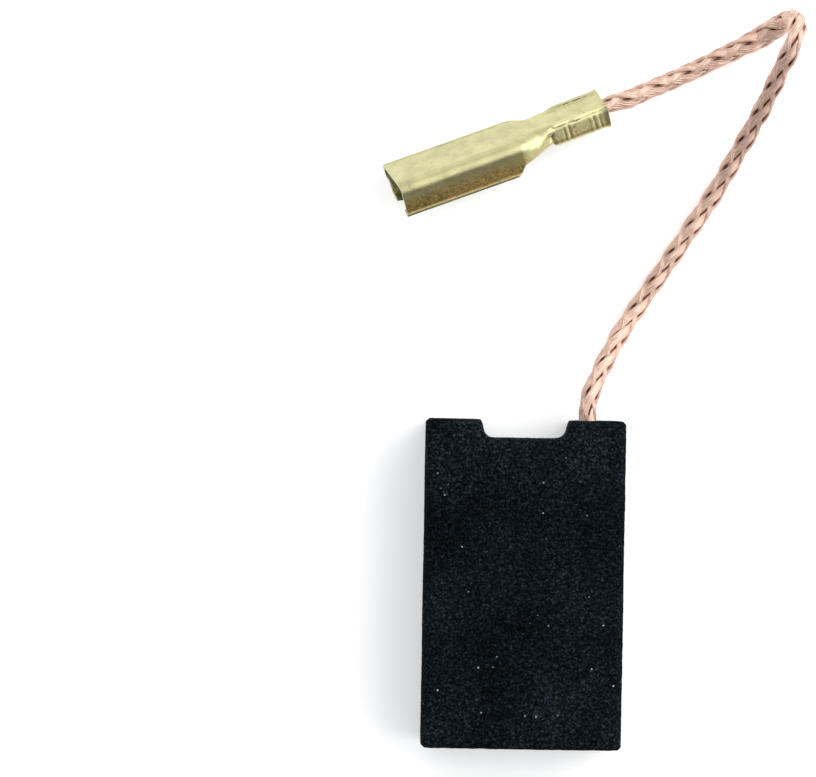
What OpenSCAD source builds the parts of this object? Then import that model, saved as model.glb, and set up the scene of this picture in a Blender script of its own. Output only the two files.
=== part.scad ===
// Carbon brush for an electric motor: a pressed carbon block, a braided
// copper shunt lead tamped into it, and a folded brass tab receptacle
// crimped on the lead's far end.
//
// The brush lies flat on its wide back. X is the block's width, Y its
// length (contact face at -Y, spring notch at +Y) and Z its thickness.
// The origin is the middle of the block's underside. Millimetres.

/* [Carbon block] */
// Width of the block, across the brush holder
block_w = 12.5; // [11.5:0.1:16]
// Length of the new block, from contact face to notched head
block_l = 20.5; // [16:0.1:32]
// Thickness of the block
block_t = 6.3; // [5:0.1:8]
// Rounding of the four long edges
long_edge_r = 0.6; // [0.2:0.05:1]
// Rounding of the block's corners in plan
corner_r = 0.3; // [0.1:0.05:0.8]
// Bevel along the four short edges of the two wide faces
short_bevel = 0.2; // [0.05:0.05:0.5]

/* [Spring notch] */
// Width of the notch for the spring finger, at its mouth
notch_w = 5.6; // [3:0.1:6.5]
// Depth of the notch
notch_depth = 1.15; // [0.8:0.05:3]
// Fillet at the notch's two inner corners
notch_r = 0.7; // [0.3:0.05:0.8]
// Lean of each notch wall, from mouth to floor
notch_draft = 0.15; // [0:0.05:0.4]

/* [Tamped connection] */
// Distance of the lead from the block's middle
lead_offset = 3.9; // [3.8:0.05:4.6]
// Diameter of the blind hole that holds the tamped end
hole_d = 1.8; // [1.5:0.05:2]
// Depth of the blind hole
hole_depth = 6; // [4:0.1:9]
// Length of lead that stands in the hole
buried_l = 5; // [3:0.1:8]
// How far the tamped powder lies below the head
tamp_recess = 0.3; // [0:0.05:1]
// Clearance between the lead and what grips it
grip_gap = 0.01; // [0.005:0.005:0.03]

/* [Shunt lead] */
// Diameter of the braided lead
lead_d = 1.15; // [0.9:0.05:1.25]
// Width of the lead where the crimp has flattened it
crimped_w = 1.5; // [1.2:0.05:1.7]

/* [Tab receptacle] */
// Thickness of the brass sheet
sheet = 0.3; // [0.2:0.01:0.32]
// Outside width of the receptacle
socket_w = 3.9; // [3.6:0.05:4.4]
// Outside height of the receptacle, over the curls
socket_h = 2.4; // [2.3:0.05:2.8]
// Length of the receptacle, from mouth to the end of the curls
socket_l = 7.4; // [6.5:0.1:9]
// Outside radius of the folds between base, sides and curls
fold_r = 0.56; // [0.45:0.01:0.65]
// Thickness of the flat tab that the receptacle takes
tab_t = 0.8; // [0.5:0.05:0.9]
// Clear width between the two curls' lips
lip_gap = 0.8; // [0.4:0.05:1]

/* [Neck] */
// Length of the neck, from the curls to the crimp's wings
neck_l = 2.8; // [1.5:0.1:4]
// Depth of the neck's side walls behind the curls
neck_wall = 1.5; // [1:0.05:1.7]
// Outside radius of the neck's folds, halfway along it
neck_r = 0.95; // [0.5:0.05:1.2]
// How far the curls' cut ends lean back
curl_slant = 0.6; // [0:0.05:1]

/* [Crimp] */
// Outside width of the crimp
crimp_w = 2.5; // [2.3:0.05:2.8]
// Outside height of the crimp
crimp_h = 1.5; // [1.4:0.05:1.8]
// Length of the crimp's wings
crimp_l = 3.9; // [3:0.1:5]
// Outside radius of the crimp's folds
crimp_r = 0.4; // [0.35:0.01:0.45]
// How far the wings' tips dig up into the strands
tip_bite = 0.25; // [0.1:0.05:0.3]
// How far the bell mouth opens at the lead's end
bell = 0.12; // [0:0.01:0.2]
// Length of the bell mouth
bell_l = 0.6; // [0.3:0.1:1]
// Sideways set of the crimp's end, from the force of the crimping
crimp_set = 0.2; // [0:0.05:0.5]

/* [Hidden] */

eps = 0.01;
arc_steps = 5;          // steps in one quarter of a sheet fold
lead_sides = 8;         // sides of the swept lead
neck_steps = 10;        // sections along the neck
crimp_steps = 8;        // sections along the crimp

lead_z = block_t / 2;   // the lead leaves the middle of the thickness
head_y = block_l / 2;   // the notched head
terminal_l = socket_l + neck_l + crimp_l;
crimp_start = socket_l + neck_l;

// Where the terminal lies: its mouth on the base's middle line, and how
// it is rolled about its length, pitched and turned in plan.
terminal_at = [-8.6, 25.5, 3.53];
terminal_turn = [-58, 6, 20.8];

// Bore of the crimp that the flattened lead fills, under the base sheet
// and on the tips of the wings.
bore_h = crimp_h - 2 * sheet - tip_bite;
crimped_h = bore_h - 2 * grip_gap;
crimped_z = -sheet - bore_h / 2;

// Free route of the lead's middle line, from the block to the crimp: it
// drops to the table, rises over itself at the fold and comes back.
free_route = [
    [4.1, 12.0, 3.0], [4.7, 13.4, 2.5], [5.4, 14.8, 1.8], [6.2, 16.2, 1.1],
    [7.1, 17.6, 0.7], [8.1, 19.1, 0.6], [9.1, 20.6, 0.6], [10.2, 22.3, 0.6],
    [11.3, 24.0, 0.6], [12.3, 25.7, 0.9], [13.2, 27.4, 1.4], [14.1, 29.1, 2.2],
    [14.9, 30.8, 3.3], [15.6, 32.5, 4.5], [16.0, 33.4, 5.0], [16.3, 34.2, 5.2],
    [16.5, 34.9, 4.9], [16.5, 35.4, 4.1], [16.4, 35.7, 2.9], [16.1, 35.7, 1.8],
    [15.5, 35.4, 0.9], [14.7, 34.9, 0.6], [13.7, 34.3, 0.6], [12.4, 33.6, 0.6],
    [11.1, 32.9, 0.6], [9.7, 32.2, 0.7], [8.4, 31.6, 0.9], [7.1, 31.0, 1.2],
    [6.0, 30.5, 1.4]
];

// ---- plain geometry -------------------------------------------------

// Points on an arc round centre c, from angle a to angle b.
function arc(c, r, a, b, steps = arc_steps) =
    [for (i = [0:steps]) c + r * [cos(a + (b - a) * i / steps), sin(a + (b - a) * i / steps)]];

function reversed(list) = [for (i = [len(list) - 1:-1:0]) list[i]];
function mirrored(list) = [for (p = list) [-p[0], p[1]]];
function unit(v) = v / norm(v);
function smooth(s) = s * s * (3 - 2 * s);
function blend(a, b, s) = a + (b - a) * s;

// The turn that rotate() makes, as a function on a point.
function about_x(p, a) = [p[0], p[1] * cos(a) - p[2] * sin(a), p[1] * sin(a) + p[2] * cos(a)];
function about_y(p, a) = [p[0] * cos(a) + p[2] * sin(a), p[1], -p[0] * sin(a) + p[2] * cos(a)];
function about_z(p, a) = [p[0] * cos(a) - p[1] * sin(a), p[0] * sin(a) + p[1] * cos(a), p[2]];
function turned(p, t) = about_z(about_y(about_x(p, t[0]), t[1]), t[2]);
function on_terminal(p) = terminal_at + turned(p, terminal_turn);

// A solid skinned over rings with the same number of points each, which
// the two caps close.
module skin(rings, caps) {
    n = len(rings[0]);
    last = len(rings) - 1;
    polyhedron(
        points = [for (ring = rings) each ring],
        faces = concat(
            [for (f = caps) reversed(f)],
            [for (k = [0:last - 1], i = [0:n - 1])
                let (j = (i + 1) % n)
                each [
                    [k * n + i, k * n + j, (k + 1) * n + j],
                    [k * n + i, (k + 1) * n + j, (k + 1) * n + i]
                ]],
            [for (f = caps) [for (i = f) last * n + i]]
        )
    );
}

// One face over a whole ring of n points.
function disc_cap(n) = [[for (i = [0:n - 1]) i]];

// The cut end of a sheet whose ring runs along its outside and back along
// its inside: one four-sided face between each pair of points.
function sheet_cap(n) = [for (i = [0:n / 2 - 2]) [i, i + 1, n - 2 - i, n - 1 - i]];

// ---- carbon block ---------------------------------------------------

// Plan of the block: round corners and a notch with filleted corners in
// the head, counter-clockwise from the contact face's right corner.
module block_plan() {
    x = block_w / 2;
    y = block_l / 2;
    half_mouth = notch_w / 2;
    half_floor = half_mouth - notch_draft;
    right = concat(
        arc([x - corner_r, -y + corner_r], corner_r, -90, 0),
        arc([x - corner_r, y - corner_r], corner_r, 0, 90),
        [[half_mouth, y]],
        arc([half_floor - notch_r, y - notch_depth + notch_r], notch_r, 0, -90)
    );
    polygon(concat(right, reversed(mirrored(right))));
}

// Rounded rectangle by exact arcs, as the block's end view.
module end_view(w, h, r) {
    union() {
        square([w - 2 * r, h], center = true);
        square([w, h - 2 * r], center = true);
        for (sx = [-1, 1], sy = [-1, 1])
            translate([sx * (w / 2 - r), sy * (h / 2 - r)])
                circle(r = r, $fn = 48);
    }
}

// Side view of the block, with a small bevel along each short edge.
module side_view(l, h, b) {
    polygon([
        [-l / 2 + b, -h / 2], [l / 2 - b, -h / 2], [l / 2, -h / 2 + b], [l / 2, h / 2 - b],
        [l / 2 - b, h / 2], [-l / 2 + b, h / 2], [-l / 2, h / 2 - b], [-l / 2, -h / 2 + b]
    ]);
}

// A hole or plug along the lead's axis, from depth `from` below the head
// up to depth `to`.
module along_lead(d, from, to) {
    translate([lead_offset, head_y - from, lead_z])
        rotate([-90, 0, 0])
            cylinder(d = d, h = from - to, $fn = 48);
}

module carbon_block() {
    color([0.10, 0.12, 0.14])
    difference() {
        translate([0, 0, block_t / 2])
        intersection() {
            translate([0, 0, -block_t / 2]) linear_extrude(height = block_t) block_plan();
            rotate([90, 0, 0])
                translate([0, 0, -block_l / 2 - 1])
                    linear_extrude(height = block_l + 2) end_view(block_w, block_t, long_edge_r);
            rotate([90, 0, 90])
                translate([0, 0, -block_w / 2 - 1])
                    linear_extrude(height = block_w + 2) side_view(block_l, block_t, short_bevel);
        }
        along_lead(hole_d, hole_depth, -1);
    }
}

// Packed copper and graphite powder between the hole and the lead.
module tamping_plug() {
    color([0.32, 0.20, 0.15])
    difference() {
        along_lead(hole_d, hole_depth, tamp_recess);
        along_lead(lead_d + 2 * grip_gap, buried_l, -1);
    }
}

// ---- shunt lead -----------------------------------------------------

// A stop on the lead: its middle, and the width and height of its section.
function round_stop(p) = [p, lead_d, lead_d];
function crimped_stop(x) = [on_terminal([x, crimp_shift(x), crimped_z]), crimped_w, crimped_h];

lead_stops = concat(
    [for (d = [buried_l - grip_gap, buried_l / 2, 0, -0.8])
        round_stop([lead_offset, head_y - d, lead_z])],
    [for (p = free_route) round_stop(p)],
    [round_stop(on_terminal([terminal_l + 0.9, crimp_shift(terminal_l), crimped_z - 0.02]))],
    [for (x = [terminal_l - bell_l / 2, crimp_start + crimp_l / 2, crimp_start + 0.4]) crimped_stop(x)]
);

// Ring of the lead round stop k. All rings share one reference direction,
// the terminal's base normal, so the flattened end lies true in the crimp.
function lead_ring(k) =
    let (
        before = lead_stops[max(k - 1, 0)][0],
        after = lead_stops[min(k + 1, len(lead_stops) - 1)][0],
        way = unit(after - before),
        base = turned([0, 0, 1], terminal_turn),
        up = unit(base - (base * way) * way),
        side = cross(way, up),
        stop = lead_stops[k]
    )
    [for (i = [0:lead_sides - 1])
        let (a = 360 * (i + 0.5) / lead_sides)
        stop[0] + stop[1] / 2 * cos(a) * side + stop[2] / 2 * sin(a) * up];

module shunt_lead() {
    color([0.80, 0.50, 0.40])
        skin([for (k = [0:len(lead_stops) - 1]) lead_ring(k)], disc_cap(lead_sides));
}

// ---- terminal -------------------------------------------------------
// The sheet's section is drawn looking along +X, with the base's outside
// at z = 0 and the curls and wings below it.

// Closed outline of a sheet whose outside and inside run from the base's
// middle to the sheet's edge, the same on both hands.
function sheet_outline(outside, inside) =
    concat(mirrored(reversed(outside)), outside, reversed(inside), mirrored(inside));

// Base, side and curl of the receptacle; inset is 0 outside, sheet inside.
function socket_edge(inset) =
    let (x = socket_w / 2 - fold_r, foot = lip_gap / 2 + fold_r)
    concat(
        arc([x, -fold_r], fold_r - inset, 90, 0),
        arc([x, -socket_h + fold_r], fold_r - inset, 0, -90),
        arc([foot, -socket_h + fold_r], fold_r - inset, -90, -180),
        [[foot - fold_r + inset, -sheet - tab_t]]
    );

// Base and side walls of the neck.
function channel_edge(w, r, wall, inset) =
    concat(arc([w / 2 - r, -r], r - inset, 90, 0), [[w / 2 - inset, -wall]]);

// Base, sides and wings of the crimp, grown by g all round at the bell.
function crimp_edge(g, inset) =
    let (x = crimp_w / 2 - crimp_r, tip = eps / 2 + sheet)
    concat(
        arc([x + g, -crimp_r + g], crimp_r - inset, 90, 0),
        arc([x + g, -crimp_h + crimp_r - g], crimp_r - inset, 0, -90),
        [[inset == 0 ? eps / 2 + eps : tip, -crimp_h + inset - g],
         [inset == 0 ? eps / 2 : tip, -crimp_h + sheet + tip_bite - g]]
    );

// A solid of folded sheet, skinned over its outlines.
module folded_sheet(rings) {
    skin(rings, sheet_cap(len(rings[0])));
}

// Sideways set of the crimp, growing along the terminal from the neck.
function crimp_shift(x) = x < socket_l ? 0 : crimp_set * pow((x - socket_l) / (neck_l + crimp_l), 2);

function at_x(x, outline) = [for (p = outline) [x, p[0] + crimp_shift(x), p[1]]];

// The receptacle runs on as far as the curls' lean, where only its base
// and side walls are left standing for the neck.
module socket() {
    difference() {
        rotate([90, 0, 90])
            linear_extrude(height = socket_l + curl_slant)
                polygon(sheet_outline(socket_edge(0), socket_edge(sheet)));
        rotate([90, 0, 0])
            linear_extrude(height = 2 * socket_w, center = true)
                polygon([
                    [socket_l, -socket_h - 1], [socket_l, -socket_h],
                    [socket_l + curl_slant, -neck_wall], [socket_l + curl_slant + 1, -neck_wall],
                    [socket_l + curl_slant + 1, -socket_h - 1]
                ]);
    }
}

module neck() {
    x0 = socket_l + curl_slant;
    folded_sheet([for (k = [0:neck_steps])
        let (
            s = k / neck_steps,
            x = blend(x0, crimp_start + eps, s),
            w = blend(socket_w, crimp_w, smooth(s)),
            soft = neck_r - (fold_r + crimp_r) / 2,
            r = blend(fold_r, crimp_r, s) + soft * pow(sin(180 * s), 2),
            wall = blend(neck_wall, crimp_h - crimp_r, s)
        )
        at_x(x, sheet_outline(channel_edge(w, r, wall, 0), channel_edge(w, r, wall, sheet)))]);
}

module crimp() {
    folded_sheet([for (k = [0:crimp_steps])
        let (
            x = blend(crimp_start, terminal_l, k / crimp_steps),
            g = bell * pow(max(0, (x - terminal_l + bell_l) / bell_l), 2)
        )
        at_x(x, sheet_outline(crimp_edge(g, 0), crimp_edge(g, sheet)))]);
}

module terminal() {
    color([0.80, 0.77, 0.50])
    translate(terminal_at) rotate(terminal_turn)
    union() {
        socket();
        neck();
        crimp();
    }
}

carbon_block();
tamping_plug();
shunt_lead();
terminal();
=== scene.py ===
"""Looks of the carbon brush: pressed carbon block, tamped braided lead and brass tab receptacle.

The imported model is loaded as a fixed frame, and each visible piece is worked out with numpy around it.
Shapes are worked out in millimetres and put into their meshes in metres.
"""

import math

import bmesh
import bpy
import numpy as np
from bpy.props import FloatProperty, FloatVectorProperty, IntProperty, PointerProperty
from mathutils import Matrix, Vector


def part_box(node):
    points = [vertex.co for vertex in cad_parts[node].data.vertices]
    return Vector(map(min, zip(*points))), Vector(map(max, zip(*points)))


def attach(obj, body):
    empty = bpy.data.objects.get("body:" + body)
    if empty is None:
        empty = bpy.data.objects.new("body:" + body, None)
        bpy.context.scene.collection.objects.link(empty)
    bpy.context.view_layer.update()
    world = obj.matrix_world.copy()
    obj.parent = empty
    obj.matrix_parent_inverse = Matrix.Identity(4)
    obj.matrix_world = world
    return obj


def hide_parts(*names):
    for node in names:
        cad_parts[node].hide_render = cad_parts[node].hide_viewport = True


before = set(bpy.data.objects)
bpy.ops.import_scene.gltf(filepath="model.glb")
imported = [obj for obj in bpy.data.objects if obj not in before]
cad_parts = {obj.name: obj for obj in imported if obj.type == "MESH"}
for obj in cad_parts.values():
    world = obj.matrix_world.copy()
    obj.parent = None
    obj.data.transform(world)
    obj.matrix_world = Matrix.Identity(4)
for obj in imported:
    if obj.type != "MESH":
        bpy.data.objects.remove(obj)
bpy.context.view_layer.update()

bl_info = {
    "name": "Carbon Brush",
    "version": (1, 0, 0),
    "blender": (4, 5, 0),
    "location": "3D View > Sidebar > Carbon Brush",
    "description": "Builds the visible pieces of a motor's carbon brush round its CAD frame",
    "category": "Object",
}

MM = 0.001
BLOCK_LOW, BLOCK_HIGH = (np.array(corner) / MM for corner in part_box("carbon_block"))

# Where the terminal lies: its mouth on the base's middle line, and how it
# is rolled about its length, pitched and turned in plan. Its own X runs
# from the mouth to the crimp, and its Z is the base's outward normal.
TERMINAL_AT = np.array([-8.6, 25.5, 3.53])
TERMINAL_TURN = (-58.0, 6.0, 20.8)

# Columns of the terminal's sheet, counted from the base's middle: where the
# corner fold, the side wall and the curl begin. In its UV, V goes this far
# for a column and U this far for a millimetre from the mouth.
FOLD, WALL, CURL = 20, 33, 46
COLUMN_V = 0.004
MM_U = 0.05

# Rows of the sheet in the receptacle, the neck and the crimp.
SOCKET_ROWS, NECK_ROWS, CRIMP_ROWS = 90, 24, 60

# Painted shade and grime in the slots along the crimp's far fold: millimetres from the mouth,
# and how dark.
FAR_SLOTS = [
    (11.12, 0.0), (11.5, 1.0), (12.14, 1.0), (12.26, 0.2), (12.4, 1.0), (13.0, 1.0),
    (13.12, 0.0), (13.28, 0.9), (13.4, 0.9), (13.5, 0.0), (13.62, 0.9), (13.72, 0.0),
]

# Ribs across the near wing: millimetres from the crimp's start, width and height.
WING_RIBS = [
    (0.85, 0.05, -0.03), (1.0, 0.05, 0.035), (1.15, 0.06, -0.045), (1.38, 0.07, 0.03),
    (2.68, 0.06, 0.035), (2.86, 0.05, -0.03), (3.06, 0.06, 0.03), (3.24, 0.05, -0.025),
    (3.42, 0.06, 0.02),
]
RIB_HEIGHT = 0.62

# Bundles of wires that go round the lead each way.
EACH_WAY = 4

# How far along the lead its fold is, and how long.
FOLD_AT, FOLD_RUN = 33.6, 2.6

# Brightness of the surroundings against (Y + 1) / 2 of the direction, and how
# much of it comes and goes with the direction's X.
SKY_LEVELS = [(0.0, 0.25), (0.03, 0.08), (0.1, 0.04), (0.15, 0.2), (0.22, 0.5), (0.5, 0.78), (0.62, 1.0)]
SKY_FROM_RIGHT = 0.4

# The key light's place and what it looks at, in metres.
KEY_AT = (0.9, 0.25, 0.8)
KEY_AIM = (0.0, 0.01, 0.0)

# Free route of the lead's middle line: it drops to the table, rises over
# itself at the fold and comes back to the crimp.
FREE_ROUTE = [
    (4.1, 12.0, 3.0), (4.7, 13.4, 2.5), (5.4, 14.8, 1.8), (6.2, 16.2, 1.1),
    (7.1, 17.6, 0.7), (8.1, 19.1, 0.6), (9.1, 20.6, 0.6), (10.2, 22.3, 0.6),
    (11.3, 24.0, 0.6), (12.3, 25.7, 0.9), (13.2, 27.4, 1.4), (14.1, 29.1, 2.2),
    (14.9, 30.8, 3.3), (15.6, 32.5, 4.5), (16.0, 33.4, 5.0), (16.3, 34.2, 5.2),
    (16.5, 34.9, 4.9), (16.5, 35.4, 4.1), (16.4, 35.7, 2.9), (16.1, 35.7, 1.8),
    (15.4, 35.25, 0.9), (14.6, 34.72, 0.6), (13.6, 34.18, 0.6), (12.4, 33.56, 0.6),
    (11.1, 32.9, 0.6), (9.7, 32.2, 0.7), (8.4, 31.6, 0.9), (7.1, 31.0, 1.2),
    (6.0, 30.5, 1.4),
]


# ---- sizes and colours ----------------------------------------------------


def length(name, description, millimetres, low=0.0):
    """A length as a property: its default in millimetres, kept in metres."""
    return FloatProperty(
        name=name, description=description, default=millimetres * MM, min=low, precision=5, unit="LENGTH"
    )


def angle(name, description, degrees):
    """An angle as a property: its default in degrees, kept in radians."""
    return FloatProperty(name=name, description=description, default=math.radians(degrees), subtype="ANGLE")


def colour(name, description, rgb):
    """A colour as a property."""
    return FloatVectorProperty(
        name=name, description=description, default=rgb, size=3, min=0, max=1, subtype="COLOR"
    )


class CARBONBRUSH_BlockSettings(bpy.types.PropertyGroup):
    """Sizes and colours of the carbon block and of the powder tamped into it."""

    long_edge_radius: length("Long edge radius", "Rounding of the four long edges", 0.6)
    corner_radius: length("Corner radius", "Rounding of the block's corners in plan", 0.3)
    short_bevel: length("Short edge radius", "Rounding along the short edges", 0.22)
    notch_width: length("Notch width", "Width of the spring notch at its mouth", 5.6)
    notch_depth: length("Notch depth", "Depth of the spring notch", 1.15)
    notch_fillet: length("Notch fillet", "Fillet at the notch's two inner corners", 0.7)
    notch_draft: length("Notch draft", "Lean of each notch wall, from mouth to floor", 0.15)
    lead_offset: length("Lead offset", "Distance of the lead from the block's middle", 3.9)
    hole_diameter: length("Hole diameter", "Diameter of the hole that the lead is tamped into", 1.8)
    cell: length("Mesh cell", "Size of a cell of the block's mesh", 0.115)
    grain: length("Grain", "Size of the pressed grains", 0.2)
    grain_height: length("Grain height", "How far the grains stand out of the faces", 0.012)
    edge_wear: length("Edge wear", "How far the edges are crumbled", 0.07)
    carbon_colour: colour("Carbon", "Colour of the pressed carbon", (0.003, 0.0052, 0.0072))
    dust_colour: colour("Dust", "Colour of the glints and of the rubbed grains", (0.05, 0.063, 0.073))
    powder_colour: colour("Tamped powder", "Colour of the tamped powder", (0.09, 0.045, 0.03))


class CARBONBRUSH_LeadSettings(bpy.types.PropertyGroup):
    """Sizes and colours of the braided lead."""

    diameter: length("Diameter", "Diameter of the braided lead", 1.15)
    free_length: length("Length", "Length of the lead from the block to its end in the crimp", 50.0)
    pitch: length("Braid pitch", "Length in which a bundle goes once round the lead", 8.6)
    bundle_width: length("Bundle width", "Width of a bundle of wires", 0.53)
    cross_width: length("Crossing width", "Width of a bundle that runs the other way", 0.33)
    bundle_height: length("Bundle height", "Thickness of one bundle of wires", 0.2)
    bundle_roll: angle("Bundle roll", "How far a bundle leans on the next", -8.0)
    braid_turn: angle("Braid turn", "Turn of the whole braid about its middle line", 8.0)
    row: length("Row", "Length of one row of the lead's mesh", 0.14)
    wires: IntProperty(name="Wires", description="Wires that show on top of a bundle", default=6, min=1)
    copper_colour: colour("Copper", "Colour of the copper wires", (0.92, 0.62, 0.5))
    # Painted shade: the dark colour painted between the wires, under crossing bundles and on the tube in
    # the braid's middle.
    shade_colour: colour("Painted shade", "Colour of the copper between the wires", (0.31, 0.135, 0.085))


class CARBONBRUSH_TerminalSettings(bpy.types.PropertyGroup):
    """Sizes and colours of the folded brass terminal."""

    sheet: length("Sheet", "Thickness of the brass sheet", 0.3)
    socket_width: length("Receptacle width", "Outside width of the receptacle", 3.9)
    socket_height: length("Receptacle height", "Outside height over the curls", 2.4)
    socket_length: length("Receptacle length", "Length from the mouth to the end of the curls", 7.4)
    fold_radius: length("Fold radius", "Outside radius of the receptacle's folds", 0.56)
    lip_gap: length("Lip gap", "Clear width between the two curls' lips", 0.8)
    tab_thickness: length("Tab thickness", "Thickness of the tab that it takes", 0.8)
    neck_length: length("Neck length", "Length from the curls to the crimp", 2.8)
    neck_radius: length("Neck radius", "Outside radius of the neck's folds, halfway along", 0.95)
    neck_wall: length("Neck wall", "Depth of the neck's walls behind the curls", 1.5)
    curl_slant: length("Curl slant", "How far the curls' cut ends lean back", 0.6)
    crimp_width: length("Crimp width", "Outside width of the crimp", 2.5)
    crimp_height: length("Crimp height", "Outside height of the crimp", 1.5)
    crimp_length: length("Crimp length", "Length of the crimp's wings", 3.9)
    crimp_radius: length("Crimp radius", "Outside radius of the crimp's folds", 0.4)
    tip_bite: length("Tip bite", "How far the wings' tips dig up into the strands", 0.25)
    bell: length("Bell", "How far the bell mouth opens", 0.12)
    crimp_set: length("Crimp set", "Sideways set of the crimp's end", 0.2)
    cut_edge: length("Cut edge", "Bevel of the sheet's cut edges", 0.045)
    brass_colour: colour("Brass", "Colour of the brass sheet", (0.5, 0.475, 0.25))
    brown_colour: colour("Brown brass", "Colour of the sheet where it has browned", (0.5, 0.36, 0.12))


class CARBONBRUSH_StageSettings(bpy.types.PropertyGroup):
    """Floor, light, surroundings and camera."""

    floor_size: length("Floor size", "Side of the square floor", 3000.0)
    floor_gap: length("Floor gap", "Gap that keeps the floor clear of the block's grain", 0.05)
    floor_colour: colour("Floor", "Colour of the floor", (0.97, 0.97, 0.97))
    floor_glow: FloatProperty(
        name="Floor glow", description="Light that comes up through the floor", default=0.3, min=0
    )
    camera_height: length("Camera height", "Height of the camera over the table", 320.0)
    camera_x: length("Camera X", "Place of the camera", -7.395, low=-1.0)
    camera_y: length("Camera Y", "Place of the camera", 12.075, low=-1.0)
    camera_roll: angle("Camera roll", "Turn of the camera about its view", 1.0)
    lens: FloatProperty(
        name="Lens", description="Focal length of the camera", default=222.8, min=1, unit="CAMERA"
    )
    key_power: FloatProperty(
        name="Key light", description="Power of the key light", default=9.0, min=0, unit="POWER"
    )
    key_size: length("Key light size", "Side of the square key light", 1300.0)
    sky: FloatProperty(name="Surroundings", description="Strength of the surroundings", default=1.2, min=0)



SETTINGS = {
    "carbon_brush_block": CARBONBRUSH_BlockSettings,
    "carbon_brush_lead": CARBONBRUSH_LeadSettings,
    "carbon_brush_terminal": CARBONBRUSH_TerminalSettings,
    "carbon_brush_stage": CARBONBRUSH_StageSettings,
}


# ---- number work ----------------------------------------------------------


def smooth(s):
    """The smooth step 3s² - 2s³, for s held between 0 and 1."""
    s = np.clip(s, 0.0, 1.0)
    return s * s * (3.0 - 2.0 * s)


def bump_at(x, middle, width):
    """A bell curve round the middle, as high as 1."""
    return np.exp(-(((x - middle) / width) ** 2))


def arc(centre, radius, start, end, steps):
    """Points on an arc, from one angle in degrees to another, both included."""
    a = np.radians(np.linspace(start, end, steps + 1))
    return np.stack([centre[0] + radius * np.cos(a), centre[1] + radius * np.sin(a)], -1)


def unit(v):
    """Vectors scaled to length 1, along the last axis."""
    return v / np.linalg.norm(v, axis=-1, keepdims=True)


def value_noise(points, cell, seed):
    """Smooth noise from -1 to 1: random values on a cubic lattice, blended by the smooth step."""
    size = 32
    table = np.random.default_rng(seed).uniform(-1.0, 1.0, (size, size, size))
    base = np.floor(points / cell).astype(int)
    part = smooth(points / cell - base)
    total = np.zeros(len(points))
    for corner in np.ndindex(2, 2, 2):
        i = (base + corner) % size
        weight = np.where(np.array(corner) == 1, part, 1.0 - part).prod(-1)
        total += table[i[:, 0], i[:, 1], i[:, 2]] * weight
    return total


def noise_along(x, cell, seed, row=0.0):
    """Smooth noise of one number, read along a row of the lattice."""
    return value_noise(np.stack([x, np.full_like(x, row), np.zeros_like(x)], -1), cell, seed)


def grid_quads(rows, columns, wrap=False):
    """Quads of a grid of points numbered row by row; wrap joins the last column to the first."""
    i, j = np.meshgrid(np.arange(rows - 1), np.arange(columns if wrap else columns - 1), indexing="ij")
    k = (j + 1) % columns
    quads = [i * columns + j, i * columns + k, (i + 1) * columns + k, (i + 1) * columns + j]
    return np.stack(quads, -1).reshape(-1, 4)


def turned(points):
    """Directions of the terminal's own axes turned into the object's: about X, then Y, then Z."""
    a, b, c = np.radians(TERMINAL_TURN)
    about_x = np.array([[1, 0, 0], [0, np.cos(a), -np.sin(a)], [0, np.sin(a), np.cos(a)]])
    about_y = np.array([[np.cos(b), 0, np.sin(b)], [0, 1, 0], [-np.sin(b), 0, np.cos(b)]])
    about_z = np.array([[np.cos(c), -np.sin(c), 0], [np.sin(c), np.cos(c), 0], [0, 0, 1]])
    return np.asarray(points) @ (about_z @ about_y @ about_x).T


def on_terminal(points):
    """Points in the terminal's own axes, put where the terminal lies."""
    return TERMINAL_AT + turned(points)


def put_mesh(name, points, faces, uv=None):
    """A new object at the origin, from points in millimetres, faces, and one UV pair for each point."""
    mesh = bpy.data.meshes.new(name)
    mesh.from_pydata((np.asarray(points) * MM).tolist(), [], [list(map(int, f)) for f in faces])
    mesh.polygons.foreach_set("use_smooth", np.ones(len(mesh.polygons), bool))
    if uv is not None:
        corners = np.empty(len(mesh.loops), dtype=np.int32)
        mesh.loops.foreach_get("vertex_index", corners)
        layer = mesh.uv_layers.new(name="UVMap")
        layer.data.foreach_set("uv", np.asarray(uv)[corners].astype(np.float32).ravel())
    mesh.update()
    obj = bpy.data.objects.new(name, mesh)
    bpy.context.scene.collection.objects.link(obj)
    return obj


# ---- materials ------------------------------------------------------------


class Signal:
    """A node's output. Arithmetic on it adds Math nodes."""

    def __init__(self, tree, socket):
        self.tree = tree
        self.socket = socket

    def math(self, operation, *values):
        inputs = dict(enumerate((self, *values)))
        return self.tree.add("ShaderNodeMath", {"operation": operation}, inputs)

    def __add__(self, other):
        return self.math("ADD", other)

    def __sub__(self, other):
        return self.math("SUBTRACT", other)

    def __mul__(self, other):
        return self.math("MULTIPLY", other)

    def __rsub__(self, other):
        return self.tree.add("ShaderNodeMath", {"operation": "SUBTRACT"}, {0: other, 1: self})

    __radd__ = __add__
    __rmul__ = __mul__

    def between(self, low, high):
        """0 below low, 1 above high, and a smooth step between; low may be the larger."""
        settings = {"interpolation_type": "SMOOTHSTEP"}
        if low > high:
            return 1.0 - self.between(high, low)
        inputs = {"Value": self, "From Min": low, "From Max": high}
        return self.tree.add("ShaderNodeMapRange", settings, inputs)

    def band(self, low, full, ebb, high):
        """0 below low, 1 from full to ebb and 0 above high, with smooth steps between."""
        return self.between(low, full) * self.between(high, ebb)


def scaled(rgb, factor, lift=0.0):
    """A colour made darker or lighter, and lifted by a little white."""
    return tuple(min(1.0, factor * c + lift) for c in rgb)


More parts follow.
